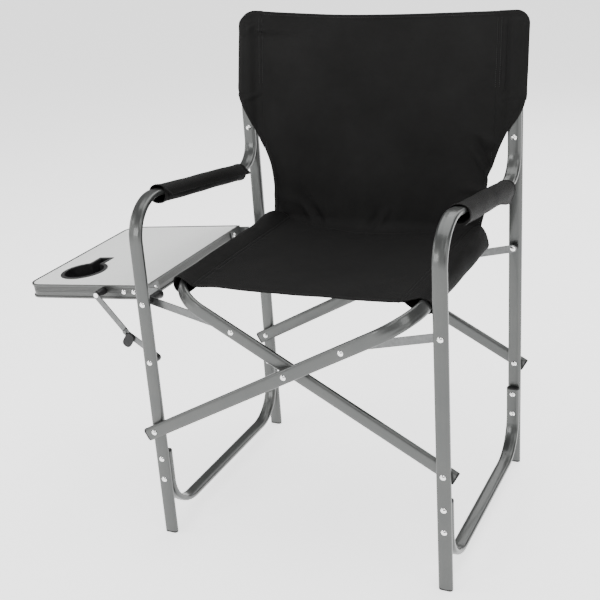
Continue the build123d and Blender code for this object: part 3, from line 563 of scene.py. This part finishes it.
def seat_surface(t, v):
    """Points of the seat: t counts along the section's knots, v runs from the front hem (0) to the rear (1).
    The section sags in the middle, dips under the back, rises behind each rail, puckers along its seams,
    and carries a doubled hem in front."""
    base = through(t, knots, section)
    start, stop = through(t, knots, front_cut), through(t, knots, rear_cut)
    y = start + v * (stop - start)
    x, z = np.broadcast_to(base[..., 0], y.shape).copy(), np.broadcast_to(base[..., 1], y.shape).copy()
    middle = np.clip(1 - ((x - seat_mid) / seat_half) ** 2, 0, 1) * (np.abs(t - 14) < 5.5)
    z -= 6.5 * middle * (0.3 + 0.7 * np.sin(np.pi * np.clip(v, 0, 1)))
    z -= 2.0 * np.clip(middle * 2.5, 0, 1) * np.exp(-(((y - crease_y(x) + 8) / 20) ** 2))
    z -= through(t, knots, sink) * (1 - ease(y, -188, -148))
    top_side = np.exp(-(((t - 7.2) / 1.1) ** 2)) + 0.7 * np.exp(-(((t - 20.8) / 1.1) ** 2))
    z += 9.0 * top_side * ease(y, 105, 180)
    seam = np.exp(-(((t - 9.2) / 0.45) ** 2)) + np.exp(-(((t - 18.8) / 0.45) ** 2))
    z += 0.24 * seam * np.sin(y / 2.3 + 2.6 * np.sin(y / 19)) * (0.5 + 0.5 * np.sin(y / 41))
    for line, width in zip(seam_knots, seam_widths):
        z -= 0.8 * np.exp(-(((t - line) / width) ** 2))
    z += 2.2 * np.exp(-(((x + 176) / 7) ** 2) - ((y + 112) / 5) ** 2) * (t > 7)
    loose = (t < 7.5) | (t > 20.5)
    x += loose * np.sign(x) * 0.9 * np.sin(y / 23 + t) * np.sin(y / 61)
    z += 0.5 * np.sin(x / 37 + y / 29) * middle + 0.35 * np.sin(x / 15 - y / 47) * middle
    hem = 1 - ease(y - start, 6.4, 7.4)
    z += 0.8 * hem * (np.abs(t - 14) < 6.9)
    return np.stack([x, y, z], -1)


fine = np.concatenate([np.linspace(-0.12, 0.12, 9) + k for k in seam_knots])
coarse = [np.linspace(0, 8.6, 60), np.linspace(9.15, 18.85, 92), np.linspace(19.45, 28, 60)]
steps = np.unique(np.concatenate([*coarse, fine]).round(4))
rows = np.concatenate([[0, 0.9, 3.5, 6.2, 7.0, 7.6], np.linspace(11, seat_deep, 92)]) / seat_deep
seat_points = seat_surface(steps[None, :], rows[:, None])
stretch = along_line(seat_points[40])
flat = np.stack(np.broadcast_arrays(stretch[None, :], seat_points[..., 1]), -1)
seat = thicken(piece("seat_cloth", [patch(seat_points, flat)], cloth))
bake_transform(seat)
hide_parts("seat_panel", "seat_sleeve_table_side", "seat_sleeve_free_side")

up_facing = np.tile([0.0, 0.0, 1.0], (60, 1))
above = (0, 0, 0.75)
seam_bodies = ("cross_b", "cross_b", "cross_a", "cross_a")
for label, knot, body in zip(("left_a", "left_b", "right_a", "right_b"), seam_knots, seam_bodies):
    line = seat_surface(np.full(60, knot), np.linspace(0.01, 0.8, 60)) + above
    stitches("seat_stitch_" + label, line, up_facing, body)
line = seat_surface(np.linspace(9.1, 18.9, 60), np.full(60, 5.0 / seat_deep)) + above
front_sewn = stitches("seat_stitch_hem", line, up_facing)
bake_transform(front_sewn)
print("seat points", seat_points.shape[:2], "width along cloth", round(float(stretch[-1])))

# %% [markdown]
# The back is cut with two wings. Each wing is folded round a back post into a flat sleeve, and below the sleeve the
# edge sweeps in to the seat. The cloth leans forward as it comes down, and its slack hangs out over the seat.
# Creases are added as soft ridges along short lines, as the photograph shows them.

# %% back cloth shape
seam_x = 226.0  # half the distance between the two sleeve seams


def edge_x(z, side):
    """Half width of the back cloth at a height: wide at the sleeves, sweeping in below them."""
    levels = [470, 493, 514, 538, 563, 580, 600, 634, 661, 685, 706, 719, 740, 775, 815, 841, 880]
    right_half = [202.5, 205.5, 210.5, 213, 214.5, 217.3, 224.3, 236.6, 249.5, 267.5, 277.2, 279.8]
    right_half += [279.8, 280, 279.6, 279.6, 279.6]
    left_half = [213, 212.8, 210.5, 209.8, 211.5, 214.2, 220.8, 236.8, 251.2, 262.9, 272.3, 277.5]
    left_half += [277.7, 276.8, 275.5, 274, 274]
    return through(z, levels, right_half if side > 0 else left_half)


heights = np.linspace(580, 640, 601)
wing_foot = {side: float(heights[np.argmax(edge_x(heights, side) >= seam_x)]) for side in (-1, 1)}


def top_z(x):
    """Height of the top hem: a smooth line that sags in the middle, and a quarter circle down at each top corner."""
    at = [-280, -235, -199, -148, -88, -29, 47, 139, 192, 236, 280]
    hem = through(x, at, [866.4, 866.0, 863.8, 861, 858.2, 857, 857.2, 859.3, 861, 862.3, 864])
    reach, radius = np.where(x > 0, 279.6, 274.0), np.where(x > 0, 25.0, 32.0)
    corner = np.clip(np.abs(x) - (reach - radius), 0, radius - 0.1)
    return hem - radius + np.sqrt(radius**2 - corner**2)


def post_y(z):
    """Depth of the back posts: upright up to their bend at 710, then leaning back, with a soft change between."""
    over_bend = z - post_bend_z
    return inner_y + back_tilt * (over_bend + np.sqrt(over_bend**2 + 81.0)) / 2


def ridge(x, z, a, b, width, height):
    """A soft ridge along a line from a, fading towards b; a negative height is a valley."""
    run = np.array(b, float) - np.array(a, float)
    along = np.clip(((x - a[0]) * run[0] + (z - a[1]) * run[1]) / (run @ run), 0, 1)
    off = (x - a[0] - along * run[0]) ** 2 + (z - a[1] - along * run[1]) ** 2
    return height * (1 - along) ** 0.8 * np.exp(-off / width**2)


# start, end, width and height of each fold
folds = [
    ((-118, 474), (-167, 522), 6.5, 6.5), ((-102, 478), (-150, 534), 7, -5.5), ((11, 472), (37, 522), 6, 5.0),
    ((-1, 476), (20, 520), 6.5, -4.0), ((217, 581), (176, 641), 5.5, 7.5), ((217, 600), (190, 652), 6, -6.5),
    ((214, 553), (153, 556), 6.5, 4.4), ((208, 541), (150, 540), 7, -3.4), ((-262, 703), (-222, 722), 3.4, 3.0),
    ((-246, 703), (-224, 714), 3, -2.2), ((-250, 836), (-206, 858), 3.6, 3.0), ((-232, 826), (-120, 824), 3.4, -3.4),
    ((-232, 832), (-150, 832), 5, 2.4), ((-269, 823), (-226, 841), 3.4, 2.4), ((246, 716), (232, 704), 4, -2.4),
    ((266, 709), (240, 694), 5, 2.4), ((243, 717), (270, 727), 3.6, 2.0), ((222, 640), (168, 664), 9, 3.4),
    ((214, 622), (160, 640), 9, -3.4), ((-206, 520), (-150, 505), 9, 2.5), ((120, 486), (150, 540), 12, 3.0),
    ((60, 484), (75, 540), 12, -3.0),
]


def seat_level(x):
    """Height of the seat cloth under the foot of the back: a slant from rail to rail with a shallow sag."""
    return 479.5 + 0.0178 * x - 4.3 * np.clip(1 - ((x - seat_mid) / seat_half) ** 2, 0, 1)


def back_y(x, z):
    """Depth of the back's front layer: flat at the sleeves with a bulge over each post, leaning and slack below,
    and turned forward at the foot on a quarter circle that lies down on the seat."""
    lean = 18.5 * np.clip((716 - z) / 230, 0, 1.05) ** 1.15
    out = 187.2 - crease_y(x)
    turn_in = 7.0 + 0.3 * np.clip(out, 0, 60)
    slack = (out - turn_in) * np.clip((612 - z) / 134, 0, 1.05) ** 1.5
    slack = slack + turn_in * (1 - np.sqrt(1 - (1 - np.clip((z - seat_level(x)) / turn_in, 0, 1)) ** 2))
    bulge = 6.2 * np.exp(-(((np.abs(x) - half) / 16.5) ** 4)) * (1 - ease(z, 845, 857)) * ease(z, 620, 700)
    inside = 1 - ease(np.abs(x), 190, 222)
    roll = 2.2 * np.sin(x / 83 + z / 120) + 1.4 * np.sin(x / 47 - z / 61 + 1.0) + 0.6 * np.sin(x / 21 + z / 33)
    valley = 3.2 * np.exp(-(((x - 242) / 7.5) ** 2)) * ease(z, 712, 732) * (1 - ease(z, 832, 850))
    belly = 5.0 * np.cos(np.pi / 2 * np.clip(x / seam_x, -1, 1)) * ease(z, 560, 700)
    y = post_y(z) - 1.3 - bulge - lean - slack + valley + belly + roll * inside * (1 - 0.5 * ease(z, 640, 720))
    for a, b, width, height in folds:
        y = y - ridge(x, z, a, b, width, height)
    return y


def hem_step(distance):
    """A bound edge: a band of doubled cloth 7 mm wide along a free edge."""
    return 0.9 * (1 - ease(distance, 6.3, 7.4))


print("folds", len(folds), "hem at the middle", round(float(top_z(np.array(0.0))), 1))

# %% [markdown]
# The panel between the two sleeve seams squeezes up as the chair folds, while each sleeve stays on its post.
# So the cloth is three pieces that meet along the stitched seams, all worked out from the same surface.

# %% back panel
panel_low, panel_high, panel_tall = 473.0, 858.0, 386.0
left_hem, right_hem = [0, 0.8, 3.4, 6.0, 6.8, 7.6], [444.4, 445.2, 446, 448.6, 451.2, 452]
share = np.concatenate([left_hem, np.linspace(11, 441, 130), right_hem]) / seam_x - 1
top_hem = [377.0, 378.2, 379.2, 382, 385.0, 386.0]
lift = np.concatenate([np.linspace(0, 34, 44), np.linspace(37, 372, 104), top_hem]) / panel_tall


def panel_surface(s, v):
    """Points of the back panel: s from one side edge (-1) to the other (1), v from the seat (0) to the top hem (1)."""
    z = panel_low + v * (panel_high - panel_low) + 0 * s
    wide = np.where(s > 0, np.minimum(edge_x(z, 1), seam_x), np.minimum(edge_x(z, -1), seam_x))
    x = s * wide
    z = panel_low + v * (top_z(x) - panel_low)
    free_side = np.where(z < np.where(s > 0, wing_foot[1], wing_foot[-1]), wide - np.abs(x), 99.0)
    y = back_y(x, z) - hem_step(np.minimum(free_side, top_z(x) - z))
    return np.stack([x, y, z], -1)


panel_points = panel_surface(share[None, :], lift[:, None])
flat = panel_points[..., [0, 2]]
back = thicken(piece("back_cloth", [patch(panel_points, flat)], cloth))
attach(back, "frame_table_side")
before = (0, 0.75, 0)
top_line = panel_surface(np.linspace(-0.99, 0.99, 90), np.full(90, 1 - 5.0 / panel_tall)) - before
toward = np.tile([0.0, -1.0, 0.0], (90, 1))
top_sewn = stitches("back_stitch_top", top_line, toward, "frame_table_side")
edge_sewn = []
for name, s in (("left", -1), ("right", 1)):
    low_line = panel_surface(s * (1 - 5.0 / np.linspace(205, 225, 60)), np.linspace(0.04, 0.4, 60)) - before
    edge_sewn.append(stitches("back_stitch_edge_" + name, low_line, toward[:60], "frame_table_side"))
for made in [back, top_sewn, *edge_sewn]:
    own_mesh(made)
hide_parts("back_panel")
print("back panel", panel_points.shape[:2])

# %% [markdown]
# A back sleeve goes round its post as a flat loop, closed at the top under the hem, and its front layer
# carries on below as the wing that sweeps in to the panel.

# %% back sleeves
sleeve_mouth = 716.0


def sleeve_front(f, z, side):
    """Front layer of a sleeve: f from the seam (0) to the outer edge (1) at a height. Above the sleeve's mouth
    the layer curves back to the post's depth at its outer edge, as 1 - f^10 falls to zero."""
    outer = edge_x(z, side)
    x = side * (seam_x + f * (outer - seam_x))
    high = np.minimum(z, top_z(x))
    edge = np.minimum((1 - f) * (outer - seam_x), np.where(z > sleeve_mouth, top_z(x) - high, 99.0))
    edge = np.where(z > sleeve_mouth + 4, top_z(x) - high, edge)
    round_edge = np.where(z >= sleeve_mouth, np.sqrt(np.clip(1 - f**10, 0, 1)), 1.0)
    middle = post_y(high)
    y = middle - (middle - back_y(x, high)) * round_edge - hem_step(edge) * round_edge
    return np.stack([x, y, high], -1)


sleeves = []
for side, name in ((-1, "table_side"), (1, "free_side")):
    f = np.concatenate([np.linspace(0, 0.8, 30), [0.86, 0.875, 0.89, 0.93, 0.965, 0.985, 1.0]])
    low = np.concatenate([np.linspace(wing_foot[side], sleeve_mouth - 2, 36), [sleeve_mouth]])[:, None]
    wing = sleeve_front(f[None, :], low, side)
    high = np.concatenate([[sleeve_mouth], np.linspace(sleeve_mouth + 3, 824, 38)])[:, None]
    crown = np.linspace(0, 1, 20)[1:, None]
    front_low = sleeve_front(f[None, :], high, side)
    top_x = front_low[-1, :, 0]
    rise = front_low[-1, :, 2] + crown * (top_z(top_x) - front_low[-1, :, 2])
    front_top = sleeve_front(f[None, :], rise, side)
    front_top[..., 0] = top_x
    front = np.concatenate([front_low, front_top])
    behind = front.copy()
    behind[..., 1] = 2 * post_y(front[..., 2]) - front[..., 1] - 0.4 * np.sin(front[..., 2] / 19) * (1 - f) * f
    grids = [patch(wing, wing[..., [0, 2]], side < 0), patch(front, front[..., [0, 2]], side < 0)]
    grids.append(patch(behind, behind[..., [0, 2]] + (300, 0), side > 0))
    made = thicken(piece("back_sleeve_cloth_" + name, grids, cloth), 1.4)
    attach(made, "frame_" + name)
    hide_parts("back_sleeve_" + name)
    for label, shift in (("a", -0.8), ("b", 6.0)):
        heights = np.linspace(733, 856, 40)
        line_x = np.full(40, side * (seam_x + shift))
        line = np.column_stack([line_x, back_y(line_x, heights) - 0.8, heights])
        stitches("back_stitch_" + name + "_" + label, line, toward[:40], "frame_" + name, 3.6, 2.5)
    sleeves.append(made)
print("sleeves", [len(s.data.vertices) for s in sleeves])

# %% [markdown]
# Arm covers are strips wrapped round the arm and lapped. They hang loose, open at both ends, so the tube shows
# inside a dark mouth. The section is a rounded loop that shrinks a little over its turn, so its end lies under
# its start.

# %% arm covers
arm_way = np.array([0, arm_run, -arm_drop]) / np.hypot(arm_run, arm_drop)
arm_up = np.array([0, -arm_way[2], arm_way[1]])


def on_arm(x, y):
    """Points of an arm's middle line at given depths."""
    return np.array([x, front_y, arm_top]) + ((y - front_y) / arm_way[1])[..., None] * arm_way


def cover_surface(x, y0, y1, wide, tall, drop, lap, slip, hang, f, v):
    """A lapped loop: f runs 410 degrees from the lap's outer end round to under it, v along the arm from its
    front mouth. The loop shrinks along f, so its end lies under its start. The lap's free edge stands off a
    little, and slips along the arm or hangs down at its corners."""
    angle = np.radians(lap) + f * np.radians(410)
    grow = 1.0 - 1.9 / wide * ease(f, 0.0, 0.95)
    c, s = np.cos(angle), np.sin(angle)
    free = 1 - ease(f, 0.0, 0.1)
    y = y0 + v * (y1 - y0) + slip * free * (1 - ease(v, 0, 0.2) + ease(v, 0.85, 1))
    slackness = 1 + 0.02 * np.sin(v * 9 + angle) + 0.012 * np.sin(v * 23 - 2 * angle)
    across = wide * grow * slackness * np.sign(c) * np.abs(c) ** 0.86
    rise = tall * grow * slackness * np.sign(s) * np.abs(s) ** 0.86 - drop
    tip = hang * ease(v, 0.72, 0.97) * (1 - ease(f, 0.0, 0.12))
    hem = 0.7 * (1 - ease(np.minimum(v, 1 - v) * (y1 - y0), 5.6, 6.6))
    stand = hem + 1.6 * (1 - ease(f, 0.0, 0.05))
    across, rise = across + stand * c, rise + stand * s - tip
    return on_arm(x, y) + across[..., None] * np.array([1.0, 0, 0]) + rise[..., None] * arm_up


covers = []
hem_rows = np.array([0, 0.9, 3, 5.4, 6.1, 6.9])
for name, x, y0, y1, wide, tall, drop, lap, slip, hang in (
    ("table_side", -half, -138.0, 150.0, 16.4, 15.6, 4.4, -8.0, 12.0, 0.0),
    ("free_side", half, -122.0, 149.0, 17.2, 15.4, 7.0, -68.0, 0.0, 8.0),
):
    long = y1 - y0
    f = np.linspace(0, 1, 110)[None, :]
    v = (np.concatenate([hem_rows, np.linspace(10, long - 10, 70), long - hem_rows[::-1]]) / long)[:, None]
    points = cover_surface(x, y0, y1, wide, tall, drop, lap, slip, hang, f, v)
    around = along_line(points[40])
    flat = np.stack(np.broadcast_arrays(around[None, :], v * long), -1)
    made = thicken(piece("arm_cover_cloth_" + name, [patch(points, flat, True)], cloth), 1.3)
    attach(made, "frame_" + name)
    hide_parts("arm_cover_" + name)
    ring_f, ring_v = np.linspace(0, 0.88, 60), np.full(60, 4.2 / long)
    ring = cover_surface(x, y0, y1, wide + 0.9, tall + 0.9, drop, lap, slip, hang, ring_f, ring_v)
    core = on_arm(x, np.array(y0 + 4.2)) - drop * arm_up
    lap_f, lap_v = np.full(60, 0.016), np.linspace(0.01, 0.99, 60)
    seam = cover_surface(x, y0, y1, wide + 0.85, tall + 0.85, drop, lap, slip, hang, lap_f, lap_v)
    spine = on_arm(x, seam[:, 1]) - drop * arm_up
    sewn_rows = [
        stitches("arm_stitch_ring_" + name, ring, ring - core, "frame_" + name, 3.6, 2.5),
        stitches("arm_stitch_lap_" + name, seam, seam - spine, "frame_" + name, 3.6, 2.5),
    ]
    covers.append(made)
print("arm covers", [len(c.data.vertices) for c in covers])

# %% [markdown]
# A plain pale floor and broad soft lamps stand in for the studio.

# %% studio
reach = 300.0
floor_mesh = bpy.data.meshes.new("floor")
corners = [(-reach, -reach, 0), (reach, -reach, 0), (reach, reach, 0), (-reach, reach, 0)]
floor_mesh.from_pydata(corners, [], [(0, 1, 2, 3)])
floor = bpy.data.objects.new("floor", floor_mesh)
bpy.context.scene.collection.objects.link(floor)
glow = {"Emission_Color": (1, 1, 1, 1), "Emission_Strength": 1.6}
pale, tree, shader = finish("pale_floor", (0.92, 0.92, 0.92), 0.0, 0.9, **glow)
floor_mesh.materials.append(pale)


def lamp(name, power, size, spot, aim):
    """A square soft lamp at one point, facing another."""
    data = bpy.data.lights.new(name, "AREA")
    data.energy = power
    data.size = size
    lit = bpy.data.objects.new(name, data)
    ahead = np.array(aim, float) - np.array(spot, float)
    ahead /= np.linalg.norm(ahead)
    across = np.cross(ahead, (0, 0, 1.0))
    across /= np.linalg.norm(across)
    turn = np.eye(4)
    turn[:3, 0], turn[:3, 1], turn[:3, 2], turn[:3, 3] = across, np.cross(across, ahead), -ahead, spot
    lit.matrix_world = Matrix(turn.tolist())
    bpy.context.scene.collection.objects.link(lit)


# name, watts, size, place and the height it faces on the chair's middle line
lamps = (
    ("right_softbox", 30.0, 1.6, (3.1, -1.5, 1.7), 0.5),
    ("left_softbox", 38.0, 1.6, (-2.9, -1.5, 1.7), 0.5),
    ("front_softbox", 28.0, 1.5, (1.1, -2.7, 2.6), 0.6),
    ("front_left_softbox", 40.0, 1.1, (-1.5, -3.3, 1.3), 0.5),
    ("top_softbox", 80.0, 2.8, (0.2, 0.2, 2.9), 0.4),
    ("rear_softbox", 44.0, 2.2, (0.3, 2.6, 2.3), 0.6),
)
for name, power, size, spot, height in lamps:
    lamp(name, power, size, spot, (0.13, 0, height))
world = bpy.data.worlds.new("studio_white")
world.use_nodes = True
surround = world.node_tree.nodes["Background"]
surround.inputs["Color"].default_value = (1, 1, 1, 1)
surround.inputs["Strength"].default_value = 0.32
bpy.context.scene.world = world
print("studio lamps", len(lamps))
